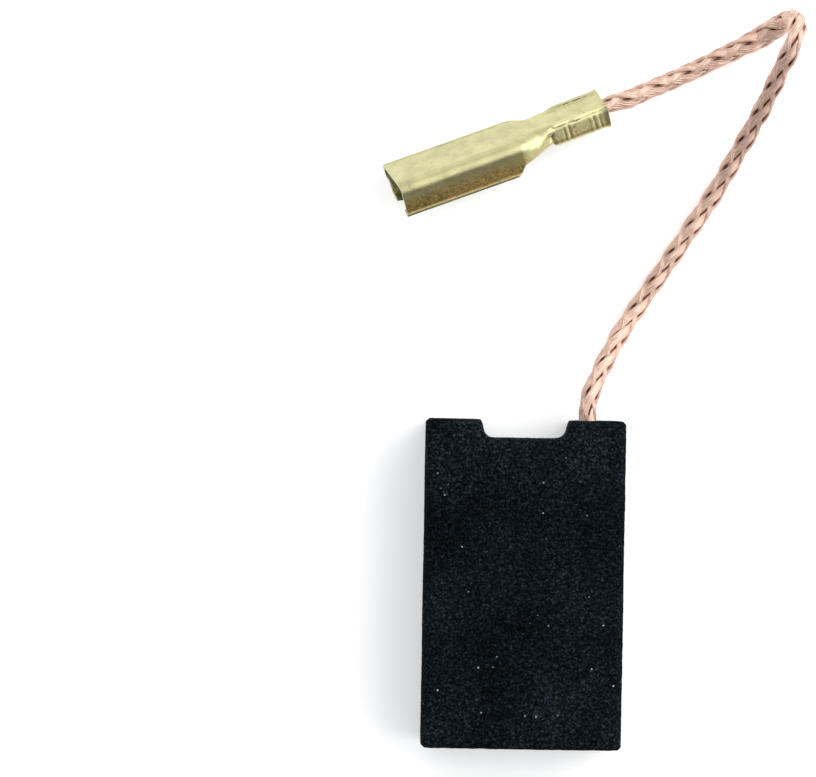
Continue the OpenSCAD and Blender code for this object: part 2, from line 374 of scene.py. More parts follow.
class Nodes:
    """A node tree with one shader. Its other nodes all come from add()."""

    def __init__(self, owner, shader):
        owner.use_nodes = True
        self.nodes = owner.node_tree.nodes
        self.links = owner.node_tree.links
        self.shader = self.nodes[shader]

    def add(self, kind, settings, inputs, output=0):
        """Adds a node of that kind: its settings first, then the values or links of its sockets."""
        node = self.nodes.new(kind)
        for key, value in settings.items():
            if key == "stops":
                self.set_stops(node.color_ramp, value)
            else:
                setattr(node, key, value)
        for key, value in inputs.items():
            self.feed(node.inputs[key], value)
        return Signal(self, node.outputs[output])

    def set_stops(self, ramp, stops):
        while len(ramp.elements) < len(stops):
            ramp.elements.new(0.5)
        for element, (position, rgb) in zip(ramp.elements, stops):
            element.position = position
            element.color = (*rgb, 1.0)

    def feed(self, socket, value):
        if isinstance(value, Signal):
            self.links.new(value.socket, socket)
        elif socket.type == "RGBA":
            socket.default_value = (*value, 1.0)
        else:
            socket.default_value = value

    def set(self, **values):
        """Feeds sockets of the shader, written with _ for a space."""
        for key, value in values.items():
            self.feed(self.shader.inputs[key.replace("_", " ")], value)

    def part(self, vector, axis):
        """One number of a vector, by its axis from 0 to 2."""
        return self.add("ShaderNodeSeparateXYZ", {}, {"Vector": vector}, axis)


class Finish(Nodes):
    """A material with one Principled shader."""

    def __init__(self, name):
        self.material = bpy.data.materials.new(name)
        super().__init__(self.material, "Principled BSDF")

    def place(self, kind, scale=(1.0, 1.0, 1.0)):
        """Object or UV coordinates through a Mapping node."""
        where = self.add("ShaderNodeTexCoord", {}, {}, kind)
        return self.add("ShaderNodeMapping", {}, {"Vector": where, "Scale": scale})

    def noise(self, where, scale, detail=2.0, roughness=0.5):
        inputs = {"Vector": where, "Scale": scale, "Detail": detail, "Roughness": roughness}
        return self.add("ShaderNodeTexNoise", {}, inputs)

    def mix(self, factor, a, b):
        """A colour between a and b."""
        return self.add("ShaderNodeMix", {"data_type": "RGBA"}, {0: factor, 6: a, 7: b}, 2)

    def bump(self, height, distance):
        return self.add("ShaderNodeBump", {}, {"Height": height, "Distance": distance, "Strength": 1.0})


def carbon_finish(s):
    """Pressed carbon: dark blue-black grains of uneven tone, with a few painted glints: pale specks where
    graphite flakes would catch the light.
    """
    f = Finish("pressed_carbon")
    where = f.place("Object")
    per_grain = 1.25 / s.grain
    grains = f.noise(where, per_grain, 3.0, 0.65)
    fine = f.noise(where, per_grain * 3.1, 2.0, 0.6)
    broad = f.noise(where, 170.0)
    shade = grains * 0.62 + fine * 0.38 + (broad - 0.5) * 0.18
    carbon = tuple(s.carbon_colour)
    stops = [(0.4, scaled(carbon, 0.1)), (0.5, carbon), (0.57, scaled(carbon, 2.6)), (0.68, s.dust_colour)]
    ground = f.add("ShaderNodeValToRGB", {"stops": stops}, {"Fac": shade})
    # Painted glints: sparse pale specks with less roughness, standing for light caught by graphite flakes.
    flakes = {"Vector": where, "Scale": 4400.0}
    flake = f.add("ShaderNodeTexVoronoi", {}, flakes, "Color")
    pick = f.add("ShaderNodeSeparateColor", {}, {"Color": flake}, 0)
    near = f.add("ShaderNodeTexVoronoi", {}, flakes, "Distance")
    painted_glint = pick.between(0.982, 0.999) * near.between(0.34, 0.14)
    f.set(
        Base_Color=f.mix(painted_glint, ground, (0.42, 0.45, 0.48)),
        Roughness=0.86 - painted_glint * 0.5,
        Specular_IOR_Level=0.03,
        Normal=f.bump(grains * 0.7 + fine * 0.45, 0.00009),
    )
    return f.material


def powder_finish(s):
    """Tamped powder: dull copper and graphite grains."""
    f = Finish("tamped_powder")
    grains = f.noise(f.place("Object"), 9000.0, 2.0, 0.7)
    powder = tuple(s.powder_colour)
    stops = [(0.35, scaled(powder, 0.2)), (0.55, powder), (0.7, (0.34, 0.17, 0.1))]
    f.set(
        Base_Color=f.add("ShaderNodeValToRGB", {"stops": stops}, {"Fac": grains}),
        Roughness=0.8,
        Specular_IOR_Level=0.2,
        Normal=f.bump(grains, 0.00006),
    )
    return f.material


def copper_finish(s):
    """Bare copper wires along each bundle, pale on top, with painted shade between them and where a
    crossing bundle dives under the next, deeper painted shade on the tube in the middle that stands for the
    shade inside the braid, and darker in patches.
    U counts the bundles, with the whole part going once round a bundle, and V goes along the lead."""
    f = Finish("braided_copper")
    uv = f.place("UV")
    u = f.part(uv, 0)
    strands = f.noise(f.place("UV", (26.0, 1.6, 1.0)), 1.0, 2.0, 0.6)
    patches = f.noise(f.place("UV", (2.0, 3.0, 1.0)), 1.0)
    wires_round = 2 * s.wires
    wire = (u * (2.0 * math.pi * wires_round)).math("SINE") * 0.5 + 0.5
    copper = tuple(s.copper_colour)
    shade = tuple(s.shade_colour)
    coat = f.mix(strands.between(0.36, 0.64), scaled(copper, 0.72), scaled(copper, 1.13, 0.03))
    coat = f.mix(patches.between(0.5, 0.72) * 0.35, coat, scaled(copper, 0.6))
    # Painted shade in the grooves between the wires.
    coat = f.mix((1.0 - wire) * 0.3, coat, shade)
    # Painted shade on a crossing bundle where it dives under the next.
    crossing = s.pitch / MM / EACH_WAY
    painted_dive_shade = (f.part(uv, 1) * (2.0 * math.pi / crossing)).math("COSINE").between(-0.3, 0.9)
    coat = f.mix(u.between(EACH_WAY - 0.1, EACH_WAY) * painted_dive_shade * 0.6, coat, shade)
    # Deep painted shade on the tube in the middle, which stands for the shade inside the braid.
    shade_core = u.between(2 * EACH_WAY, 2 * EACH_WAY + 0.1)
    f.set(
        Base_Color=f.mix(shade_core, coat, scaled(shade, 0.75)),
        Metallic=0.72,
        Roughness=0.42 + strands * 0.16,
        Normal=f.bump(wire * 0.6 + strands * 0.4, 0.00003),
    )
    return f.material


def brass_finish(s):
    """Rolled brass sheet: soft satin with fine lines along the strip, faint clouds and small specks,
    browned in blotches down the receptacle's near side wall and a little on the near wing, rubbed
    bright along the crimp's near fold with a painted highlight and a painted shade line there, with painted
    shade in the pressed lines and painted shade and grime in the slots. U goes along the strip, and V from
    0.5 at the base's middle to both edges, less on the near side."""
    f = Finish("brass_sheet")
    sheet = f.place("UV")
    solid = f.place("Object")
    rolled = f.noise(f.place("UV", (30.0, 900.0, 1.0)), 1.0, 3.0, 0.6)
    clouds = f.noise(solid, 900.0, 3.0, 0.6)
    specks = f.noise(solid, 5600.0, 1.0, 0.4)
    stain = f.noise(solid, 5000.0, 3.0, 0.65)
    u = f.part(sheet, 0)
    along = u * (1.0 / MM_U)
    column = (f.part(sheet, 1) - 0.5) * (1.0 / COLUMN_V)
    across = column.math("ABSOLUTE")
    near = column.between(5.0, -5.0)
    in_socket = along.between(8.5, 7.8)
    in_crimp = along.between(10.3, 10.6)

    brass = tuple(s.brass_colour)
    coat = f.mix(clouds.between(0.3, 0.7), scaled(brass, 0.9), scaled(brass, 1.12, 0.01))
    coat = f.mix(clouds.between(0.56, 0.7) * 0.25, coat, (0.62, 0.5, 0.27))

    wall = across.band(WALL - 3.0, WALL + 9.0, CURL + 1.0, CURL + 5.0) * near
    coat = f.mix(wall * (in_socket * 0.6 + 0.4), coat, s.brown_colour)
    rust = across.between(WALL, WALL + 8.0) * wall * in_socket
    coat = f.mix(rust * stain.between(0.5, 0.36) * 0.6, coat, (0.22, 0.15, 0.05))
    coat = f.mix(rust * stain.between(0.5, 0.64) * 0.6, coat, (0.8, 0.5, 0.22))

    # Along the crimp's near fold: a brighter band, rubbed brass and partly a painted highlight, and a
    # painted shade line beside it, further round towards the wing.
    wander = f.noise(f.place("UV", (60.0, 1.0, 1.0)), 1.0, 1.0) * 5.0
    from_fold = column + wander + FOLD
    rubbed = from_fold.band(-1.4, -0.6, 1.4, 2.4) * in_crimp
    coat = f.mix(rubbed, coat, scaled(brass, 1.3))
    shade = from_fold.band(-3.8, -3.0, -1.8, -1.0) * in_crimp
    coat = f.mix(shade * 0.6, coat, (0.14, 0.11, 0.03))

    spot = along.band(11.56, 11.68, 11.76, 11.9) * stain.between(0.4, 0.52)
    spot = spot * column.band(-WALL - 9.0, -WALL - 5.0, -WALL - 1.0, -WALL + 3.0)
    coat = f.mix(spot * 0.8, coat, (0.27, 0.12, 0.04))
    coat = f.mix(specks.between(0.68, 0.76) * 0.4, coat, (0.16, 0.13, 0.05))

    # Painted shade along a pressed line beside each corner fold of the receptacle.
    line = across.band(FOLD - 2.2, FOLD - 1.0, FOLD, FOLD + 1.6) * in_socket
    coat = f.mix(line * 0.5, coat, (0.25, 0.24, 0.11))
    # Painted shade and grime in the slots along the crimp's far fold.
    stops = [(x * MM_U, (slot_grime_and_shade, slot_grime_and_shade, slot_grime_and_shade)) for x, slot_grime_and_shade in FAR_SLOTS]
    slot_grime_and_shade = f.add("ShaderNodeValToRGB", {"stops": stops}, {"Fac": u})
    crease_grime_and_shade = slot_grime_and_shade * column.band(FOLD - 3.5, FOLD - 1.5, FOLD + 3.5, FOLD + 5.0)
    f.set(
        Base_Color=f.mix(crease_grime_and_shade * 0.9, coat, (0.05, 0.045, 0.015)),
        Metallic=1.0,
        Roughness=0.25 + clouds * 0.08 + wall * in_socket * 0.08,
        Normal=f.bump(rolled * 0.35 + clouds * 0.5 + specks * 0.3 + stain * wall * 1.4, 0.00002),
    )
    return f.material


def floor_finish(s):
    """Plain pale sheet, lit a little from below."""
    f = Finish("pale_floor")
    f.set(
        Base_Color=s.floor_colour,
        Roughness=0.9,
        Specular_IOR_Level=0.1,
        Emission_Color=s.floor_colour,
        Emission_Strength=s.floor_glow,
    )
    return f.material


# ---- carbon block ---------------------------------------------------------


def lattice_shell(nx, ny, nz):
    """Nodes on the skin of a box lattice, and the quads between them, facing outwards."""
    nodes = np.indices((nx, ny, nz)).reshape(3, -1).T
    last = np.array([nx - 1, ny - 1, nz - 1])
    skin = ((nodes == 0) | (nodes == last)).any(-1)
    number = np.full(len(nodes), -1)
    number[skin] = np.arange(skin.sum())
    number = number.reshape(nx, ny, nz)
    quads = []
    for axis in range(3):
        for side in (0, -1):
            face = np.take(number, side, axis=axis)
            ring = [face[:-1, :-1], face[1:, :-1], face[1:, 1:], face[:-1, 1:]]
            quad = np.stack(ring, -1).reshape(-1, 4)
            outward = (side == -1) != (axis == 1)
            quads.append(quad if outward else quad[:, ::-1])
    return nodes[skin], np.concatenate(quads)


def rounded(a, b, half_a, half_b, radius):
    """How far points of a rectangle move when its corners are rounded: in a corner's square, each
    square ring round the corner's centre becomes a circle of the same reach."""
    da = np.sign(a) * np.maximum(np.abs(a) - (half_a - radius), 0.0)
    db = np.sign(b) * np.maximum(np.abs(b) - (half_b - radius), 0.0)
    reach = np.maximum(np.abs(da), np.abs(db))
    shrink = reach / np.maximum(np.hypot(da, db), 1e-9) - 1.0
    return da * shrink, db * shrink


def notch_profile(s, half_width, head):
    """Height of the head over the block's width: flat, down the notch's leaning wall, round its
    fillet and along its floor, as a dense line with its sharp turns eased."""
    mouth = s.notch_width / MM / 2
    depth = s.notch_depth / MM
    fillet = s.notch_fillet / MM
    foot = mouth - s.notch_draft / MM
    turn = arc((foot - fillet, head - depth + fillet), fillet, 0, -90, 24)
    right = np.concatenate([[(half_width, head), (mouth, head)], turn])
    line = np.concatenate([right, (right * (-1, 1))[::-1]])[::-1]
    run = np.concatenate([[0.0], np.hypot(*np.diff(line, axis=0).T).cumsum()])
    even = np.arange(0.0, run[-1], 0.02)
    dense = np.stack([np.interp(even, run, line[:, 0]), np.interp(even, run, line[:, 1])], -1)
    reach = 12
    kernel = bump_at(np.arange(-reach, reach + 1), 0.0, 5.0)
    kernel /= kernel.sum()
    padded = np.pad(dense, ((reach, reach), (0, 0)), mode="edge")
    eased = np.stack([np.convolve(padded[:, i], kernel, "valid") for i in (0, 1)], -1)
    held = reach + 3
    eased[:held], eased[-held:] = dense[:held], dense[-held:]
    return eased


def spaced(stops, cell):
    """Numbers from the first stop to the last, through every stop, about a cell apart."""
    parts = [
        np.linspace(a, b, max(1, round((b - a) / cell)) + 1)[:-1] for a, b in zip(stops[:-1], stops[1:])
    ]
    return np.concatenate([*parts, [stops[-1]]])


def block_points(s):
    """The block's skin. A box lattice is stretched so that its head follows the notch, its edges are
    rounded, and the lattice squares round the lead's axis become the rings of a blind hole. Its
    columns crowd where the notch's walls are, and run evenly across the hole. Also gives how worn
    each point's edge is, and 0 in the hole and 1 outside it."""
    half_x, half_y = (BLOCK_HIGH - BLOCK_LOW)[:2] / 2
    thick = (BLOCK_HIGH - BLOCK_LOW)[2]
    head = BLOCK_HIGH[1]
    foot = BLOCK_LOW[1]
    cell = s.cell / MM
    hole = s.hole_diameter / MM / 2
    axis_x = s.lead_offset / MM
    hole_cells = 18
    profile = notch_profile(s, half_x, head)
    mouth = s.notch_width / MM / 2
    in_wall = (np.abs(profile[:, 0]) > mouth - 0.95) & (np.abs(profile[:, 0]) < mouth + 0.04)
    walls = profile[in_wall][::4, 0]
    left, right = walls[walls < 0], walls[walls > 0]
    xs = np.concatenate([
        spaced([-half_x, left[0]], cell)[:-1], left[:-1],
        spaced([left[-1], right[0]], cell)[:-1], right[:-1],
        spaced([right[-1], axis_x - hole], cell)[:-1],
        np.linspace(axis_x - hole, axis_x + hole, hole_cells + 1)[:-1],
        spaced([axis_x + hole, half_x], cell),
    ])
    zs = np.concatenate([
        spaced([-thick / 2, -hole], cell)[:-1],
        np.linspace(-hole, hole, hole_cells + 1)[:-1],
        spaced([hole, thick / 2], cell),
    ])
    ts = np.linspace(0.0, 1.0, round(2 * half_y / cell) + 1)
    nodes, quads = lattice_shell(len(xs), len(ts), len(zs))
    x, z, t = xs[nodes[:, 0]], zs[nodes[:, 2]], ts[nodes[:, 1]]
    top = np.interp(x, profile[:, 0], profile[:, 1])
    y = foot + (top - foot) * t

    on_head = nodes[:, 1] == len(ts) - 1
    dx, dz = x - axis_x, z
    reach = np.maximum(np.abs(dx), np.abs(dz))
    m = reach / hole
    rings = (0.0, 0.56, 0.67, 0.78, 0.89, 1.0, 1.2)
    radius = np.interp(m, rings, (0.0, 0.8, 0.97, 0.99, 1.0, 1.05, 1.25)) * hole
    depth = np.interp(m, rings, (0.45, 0.45, 0.45, 0.22, 0.05, 0.0, 0.0))
    turn = radius / np.maximum(np.hypot(dx, dz), 1e-9)
    away = smooth((m - 1.0) / 0.2)
    scale = np.where(on_head & (reach > 1e-6), turn * (1.0 - away) + away, 1.0)

    ax, az = rounded(x, z, half_x, thick / 2, s.long_edge_radius / MM)
    middle = (head + foot) / 2
    bx, by = rounded(x, y - middle, half_x, half_y, s.corner_radius / MM)
    from_end = np.where(t > 0.5, half_y - (top - y), -half_y + (y - foot))
    cy, cz = rounded(from_end, z, half_y, thick / 2, s.short_bevel / MM)
    points = np.stack([
        axis_x + dx * scale + ax + bx,
        y + by + cy - np.where(on_head, depth, 0.0),
        z * scale + az + cz + thick / 2,
    ], -1)

    edge = np.maximum.reduce([
        bump_at(np.hypot(ax, az), 0.17, 0.13), bump_at(np.hypot(cy, cz), 0.06, 0.05),
        bump_at(np.hypot(bx, by), 0.11, 0.08),
    ])
    calm = np.where(on_head, smooth((m - 0.95) / 0.3), 1.0)
    return points, quads, edge * calm, calm


def pressed_surface(s, points, normals, edge, calm):
    """Points moved along their normals by grains of two sizes and broad unevenness, and inwards
    where the edges are crumbled."""
    grain = s.grain / MM
    height = s.grain_height / MM
    rough = value_noise(points, grain, 1) + 0.6 * value_noise(points, grain * 0.55, 2)
    broad = value_noise(points, 2.4, 3)
    chips = np.maximum(value_noise(points, grain * 1.7, 4) + 0.1, 0.0)
    chips = chips + 0.4 * (1.0 + value_noise(points, 0.9, 5))
    move = calm * (height * rough + 0.016 * broad) - s.edge_wear / MM * edge * chips
    return points + normals * move[:, None]


class CARBONBRUSH_OT_block(bpy.types.Operator):
    """Builds the pressed carbon block with its spring notch and lead hole"""

    bl_idname = "carbonbrush.block"
    bl_label = "Carbon Block"

    def execute(self, context):
        s = context.scene.carbon_brush_block
        points, quads, edge, calm = block_points(s)
        block = put_mesh("pressed_carbon_block", points, quads)
        normals = np.empty(len(points) * 3)
        block.data.vertex_normals.foreach_get("vector", normals)
        worn = pressed_surface(s, points, normals.reshape(-1, 3), edge, calm)
        block.data.vertices.foreach_set("co", (worn * MM).ravel())
        block.data.update()
        block.data.materials.append(carbon_finish(s))
        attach(block, "root")
        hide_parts("carbon_block")
        return {"FINISHED"}


class CARBONBRUSH_OT_plug(bpy.types.Operator):
    """Gives the tamped powder in the lead hole its finish"""

    bl_idname = "carbonbrush.plug"
    bl_label = "Tamped Powder"

    def execute(self, context):
        plug = bpy.data.objects["tamping_plug"]
        finish = powder_finish(context.scene.carbon_brush_block)
        plug.data.materials.clear()
        plug.data.materials.append(finish)
        return {"FINISHED"}


# ---- braided lead ---------------------------------------------------------


def crimp_shift(t, x):
    """Sideways set of the crimp, growing from the curls' end with the square of the distance."""
    start = t.socket_length / MM
    run = (t.neck_length + t.crimp_length) / MM
    return t.crimp_set / MM * (np.maximum(x - start, 0.0) / run) ** 2


def lead_stops(block, t):
    """Stops on the lead's middle line, and how far the crimp has flattened it at each, 0 to 1."""
    lead_x = block.lead_offset / MM
    head = BLOCK_HIGH[1]
    lead_z = BLOCK_HIGH[2] / 2
    start = [(lead_x, head - 0.42, lead_z), (lead_x, head, lead_z), (lead_x, head + 0.8, lead_z)]
    end = (t.socket_length + t.neck_length + t.crimp_length) / MM
    xs = np.array([end + 0.9, end - 0.3, end - 1.95, end - 3.5])
    low = -(t.sheet + (t.crimp_height - 2 * t.sheet - t.tip_bite) / 2) / MM
    lows = np.array([low - 0.02, low, low, low])
    held = on_terminal(np.stack([xs, crimp_shift(t, np.minimum(xs, end)), lows], -1))
    stops = np.concatenate([start, FREE_ROUTE, held])
    flat = np.concatenate([np.zeros(len(stops) - 3), np.ones(3)])
    return stops, flat


def spline(stops, values, step):
    """A curve through the stops, each part a cubic whose slope at a stop is the chord between its
    two neighbours, sampled at even lengths; the values go along with it."""
    run = np.concatenate([[0.0], np.linalg.norm(np.diff(stops, axis=0), axis=1).cumsum()])
    slope = np.gradient(stops, run, axis=0)
    fine = np.linspace(0.0, run[-1], 4000)
    k = np.clip(np.searchsorted(run, fine, side="right") - 1, 0, len(run) - 2)
    span = (run[k + 1] - run[k])[:, None]
    u = (fine - run[k])[:, None] / span
    curve = (
        (2 * u**3 - 3 * u**2 + 1) * stops[k] + (u**3 - 2 * u**2 + u) * span * slope[k]
        + (3 * u**2 - 2 * u**3) * stops[k + 1] + (u**3 - u**2) * span * slope[k + 1]
    )
    along = np.concatenate([[0.0], np.linalg.norm(np.diff(curve, axis=0), axis=1).cumsum()])
    count = round(along[-1] / step) + 1
    even = np.linspace(0.0, along[-1], count)
    line = np.stack([np.interp(even, along, curve[:, i]) for i in range(3)], -1)
    return line, np.interp(np.interp(even, along, fine), run, values), even


def lead_frames(line):
    """Tangents, and two frames round them: one true to the terminal's base, and one that doesn't
    twist, whose up is the sky's halfway along the first run."""
    tangent = unit(np.gradient(line, axis=0))
    base = turned([0.0, 0.0, 1.0])
    up = unit(base - (tangent @ base)[:, None] * tangent)
    side = np.cross(tangent, up)
    twist = -np.cumsum((np.gradient(up, axis=0) * side).sum(-1))
    middle = len(line) // 3
    sky = np.array([0.0, 0.0, 1.0])
    twist += np.arctan2(sky @ side[middle], sky @ up[middle]) - twist[middle]
    still_up = np.cos(twist)[:, None] * up + np.sin(twist)[:, None] * side
    return tangent, up, side, still_up, np.cross(tangent, still_up)


def bundle_section(width, height, wires, lean):
    """Flat oval of one bundle of wires, with a ridge over each wire on its upper side, leaning."""
    a = 2.0 * np.pi * np.arange(24) / 24
    across = width / 2 * np.cos(a)
    out = height / 2 * np.sign(np.sin(a)) * np.abs(np.sin(a)) ** 0.8
    out = out + 0.014 * np.cos(np.pi * wires * (np.cos(a) + 1.0)) * (np.sin(a) > 0.2)
    return across * math.cos(lean) - out * math.sin(lean), across * math.sin(lean) + out * math.cos(lean)


def add_tube(parts, rings, along, u):
    """Adds a tube with closed ends. Its rings turn against the clock, seen from its far end."""
    points, faces, uvs = parts
    rows, steps = rings.shape[:2]
    start = sum(map(len, points))
    points.append(rings.reshape(-1, 3))
    faces.extend((grid_quads(rows, steps, wrap=True) + start).tolist())
    first = np.arange(start, start + steps)
    faces.append(first[::-1].tolist())
    faces.append((first + (rows - 1) * steps).tolist())
    uvs.append(np.stack(np.meshgrid(along, u, indexing="ij")[::-1], -1).reshape(-1, 2))


def braid(s, line, flat, along):
    """Eight bundles of wires, four each way. A bundle goes round the lead as it goes along, and its
    distance from the middle line swings four times a turn, out over one crossing and in under the
    next; the two hands swing opposite ways. The braid spreads sideways where it folds, and is
    pressed flat and wide in the crimp. The bundles are a little wider past the fold."""
    tangent, up, side, still_up, still_side = lead_frames(line)
    pitch = s.pitch / MM
    high = s.bundle_height / MM
    swing = high * 0.24
    middle_radius = s.diameter / MM / 2 - high / 2 - swing
    fold = bump_at(along, FOLD_AT, FOLD_RUN)
    past = smooth((along - 33.0) / 3.0)
    level = np.cross(tangent, (0.0, 0.0, 1.0))
    loose = 0.35 + 0.325 * noise_along(along, 3.0, 40)
    parts = [], [], []
    for k in range(2 * EACH_WAY):
        crossing = k >= EACH_WAY
        hand = -1.0 if crossing else 1.0
        row = 7.3 * k
        phase = hand * 2.0 * np.pi * along / pitch + 2.0 * np.pi / EACH_WAY * (k % EACH_WAY)
        about = phase + s.braid_turn + 0.06 * noise_along(along, 1.3, 11, row) * (1.0 + 2.0 * fold)
        out = middle_radius + hand * swing * np.cos(EACH_WAY * phase)
        out = out + 0.014 * noise_along(along, 1.7, 12, row) * (1.0 + 1.5 * fold) * loose
        offset = (out * np.cos(about))[:, None] * still_up + (out * np.sin(about))[:, None] * still_side
        ray = unit(offset)
        offset = offset + (0.45 * fold * (offset * level).sum(-1))[:, None] * level
        offset = offset + (0.35 * flat * (offset * side).sum(-1))[:, None] * side
        offset = offset - (0.5 * flat * (offset * up).sum(-1))[:, None] * up
        centre = line + offset
        way = unit(np.gradient(centre, axis=0))
        width_way = unit(np.cross(way, ray))
        out_way = np.cross(width_way, way)
        wide = (s.cross_width if crossing else s.bundle_width) / MM
        a, b = bundle_section(wide, high, s.wires, 0.0 if crossing else s.bundle_roll)
        swell = 1.0 + 0.1 * noise_along(along, 2.3, 13, row) + 0.25 * fold
        swell = swell + (0.35 if crossing else 0.05) * past
        thin = 1.0 - 0.3 * flat
        rings = (
            centre[:, None, :]
            + (swell[:, None] * a)[:, :, None] * width_way[:, None, :]
            + (thin[:, None] * b)[:, :, None] * out_way[:, None, :]
        )
        add_tube(parts, rings, along, k + np.arange(len(a)) / len(a))
    # A tube in the middle, painted in deep shade, stands for the shade inside the braid.
    shade_core, u = shade_core_rings(s, line, still_up, still_side, flat)
    add_tube(parts, shade_core, along, u)
    points, faces, uvs = parts
    return np.concatenate(points), faces, np.concatenate(uvs)


def shade_core_rings(s, line, up, side, flat):
    """A tube in the middle of the braid that stands for the shade inside it, which its finish paints in
    deep shade:
    rings of a plain tube whose radius shrinks in the crimp, and their u, which runs on past the bundles'."""
    part = np.arange(12)[::-1] / 12
    a = 2.0 * np.pi * part
    radius = s.diameter / MM * 0.29 * (1.0 - 0.45 * flat)
    ray = np.cos(a)[None, :, None] * up[:, None, :] + np.sin(a)[None, :, None] * side[:, None, :]
    return line[:, None, :] + radius[:, None, None] * ray, 2 * EACH_WAY + 0.2 + 0.6 * part


class CARBONBRUSH_OT_lead(bpy.types.Operator):
    """Builds the braided copper lead from the block to the crimp"""

    bl_idname = "carbonbrush.lead"
    bl_label = "Braided Lead"

    def execute(self, context):
        s = context.scene.carbon_brush_lead
        block = context.scene.carbon_brush_block
        terminal = bpy.data.objects.get("folded_brass_terminal")
        if terminal is None:
            raise RuntimeError("build the terminal before the lead that carries it")
        stops, flat = lead_stops(block, context.scene.carbon_brush_terminal)
        line, flat, along = spline(stops, flat, s.row / MM)
        points, faces, uv = braid(s, line, flat, along)
        lead = put_mesh("braided_lead", points, faces, uv)
        lead.data.materials.append(copper_finish(s))
        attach(lead, "root")
        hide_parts("shunt_lead")
        return {"FINISHED"}


# ---- folded terminal ------------------------------------------------------


def terminal_sections(t, xs):
    """Middle of the sheet across the base and down one side wall, at each x. Rows are x, columns go
    from the base's middle round the corner to the wall's lower end."""
    half_sheet = t.sheet / MM / 2
    start = (t.socket_length + t.curl_slant) / MM
    end = (t.socket_length + t.neck_length) / MM
    s = np.clip((xs - start) / (end - start), 0.0, 1.0)
    width = (t.socket_width + (t.crimp_width - t.socket_width) * (0.45 * s + 0.55 * smooth(s))) / MM
    soft = t.neck_radius - (t.fold_radius + t.crimp_radius) / 2
    radius = (t.fold_radius + (t.crimp_radius - t.fold_radius) * s + soft * np.sin(np.pi * s) ** 2) / MM
    wall = (t.neck_wall + (t.crimp_height - t.crimp_radius - t.neck_wall) * s) / MM
    inner = radius - half_sheet
    base = 1.0 - np.linspace(1.0, 0.0, FOLD + 1)[:-1] ** 1.4
    turn = np.radians(np.linspace(90.0, 0.0, WALL - FOLD))
    down = np.linspace(0.0, 1.0, 10)[1:]
    flat_end = (width / 2 - radius)[:, None]
    y = np.concatenate([
        flat_end * base,
        flat_end + inner[:, None] * np.cos(turn),
        np.repeat((width / 2 - half_sheet)[:, None], len(down), axis=1),
    ], axis=1)
    z = np.concatenate([
        np.repeat(np.full((len(xs), 1), -half_sheet), len(base), axis=1),
        -radius[:, None] + inner[:, None] * np.sin(turn),
        -radius[:, None] - (wall - radius)[:, None] * down,
    ], axis=1)
    return np.stack([np.repeat(xs[:, None], y.shape[1], axis=1), y, z], -1)


def curl_rest(t):
    """Middle of the sheet from the wall's lower end round the curl to its lip, as y and z."""
    half_sheet = t.sheet / MM / 2
    r = t.fold_radius / MM
    inner = r - half_sheet
    side = t.socket_width / MM / 2
    low = t.socket_height / MM
    foot = t.lip_gap / MM / 2 + r
    lip_top = -(t.sheet + t.tab_thickness) / MM
    wall = np.stack([np.full(4, side - half_sheet), np.linspace(-t.neck_wall / MM, -low + r, 5)[1:]], -1)
    bottom = arc((side - r, -low + r), inner, 0, -90, 12)[1:]
    flat = np.stack([np.linspace(side - r, foot, 6)[1:], np.full(5, -low + half_sheet)], -1)
    roll = arc((foot, -low + r), inner, -90, -180, 12)[1:]
    lip = np.stack([np.full(7, foot - inner), np.linspace(-low + r, lip_top, 8)[1:]], -1)
    return np.concatenate([wall, bottom, flat, roll, lip])


def wing_rest(t):
    """Middle of the sheet from the crimp's side wall round to the wing's tip at the seam."""
    half_sheet = t.sheet / MM / 2
    r = t.crimp_radius / MM
    inner = r - half_sheet
    side = t.crimp_width / MM / 2
    low = t.crimp_height / MM
    turn = arc((side - r, -low + r), inner, 0, -90, 9)[1:]
    seam = half_sheet + 0.012
    flat = np.stack([np.linspace(side - r, seam + 0.05, 9)[1:], np.full(8, -low + half_sheet)], -1)
    tip = np.array([[seam, -low + half_sheet + 0.09], [seam, -low + half_sheet + 0.2]])
    return np.concatenate([turn, flat, tip])


def pressed_details(t, points):
    """How far the sheet is moved outwards by the tool that shaped it."""
    x, y, z = points.T
    return socket_details(t, x, y, z) + crimp_details(t, x, y, z)


def socket_details(t, x, y, z):
    """On the receptacle: a fine line beside each corner fold, a faint hollow down its middle, and
    side walls that bow in lower down."""
    corner = (t.socket_width - 2 * t.fold_radius) / MM / 2
    on_base = smooth((z + 0.3) / 0.1) * smooth((x - 0.7) / 0.5) * smooth((7.5 - x) / 0.6)
    line = -0.04 * bump_at(np.abs(y), corner - 0.04, 0.045) * on_base
    hollow = -0.02 * bump_at(y, 0.0, 0.9) * on_base
    bow = -0.1 * np.clip((-z - 1.0) / 1.3, 0.0, 1.0) ** 2 * (np.abs(y) > t.socket_width / MM / 2 - 0.4)
    return line + hollow + bow * smooth((8.0 - x) / 0.8)


